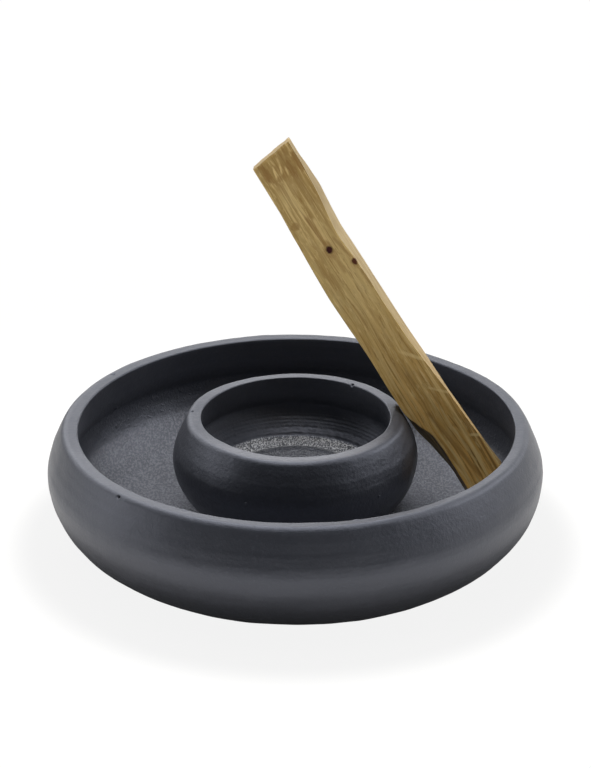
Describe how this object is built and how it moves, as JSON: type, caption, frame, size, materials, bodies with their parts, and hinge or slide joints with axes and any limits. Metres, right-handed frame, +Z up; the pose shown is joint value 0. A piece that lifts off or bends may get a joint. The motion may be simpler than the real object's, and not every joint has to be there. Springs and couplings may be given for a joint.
{
  "type": "smudge holder",
  "caption": "Round shallow clay dish with a small loose clay cup in its middle and a split scented-wood stick leaning on the cup, for burning the stick and catching ash.",
  "frame": {"origin": "centre of the dish's flat base, on the surface that it stands on", "axes": "+Z up along the axis of the dish and cup; the stick leans toward -X with its foot on the +X side; +Y to the back"},
  "size_m": [0.13, 0.13, 0.1103],
  "materials": {
    "clay": "matte, burnished unglazed clay",
    "wood": "split and sawn, unsealed"
  },
  "bodies": {
    "dish": {"dish": "clay"},
    "cup": {"cup": "clay"},
    "stick": {"stick": "wood"}
  },
  "joints": [
    {"name": "cup_lift", "type": "slide", "parent": "dish", "child": "cup", "axis": [0, 0, 1], "range_m": [0, 0.06]},
    {"name": "stick_draw", "type": "slide", "parent": "cup", "child": "stick", "axis": [-0.5033, 0, 0.8641], "range_m": [0, 0.12]}
  ]
}
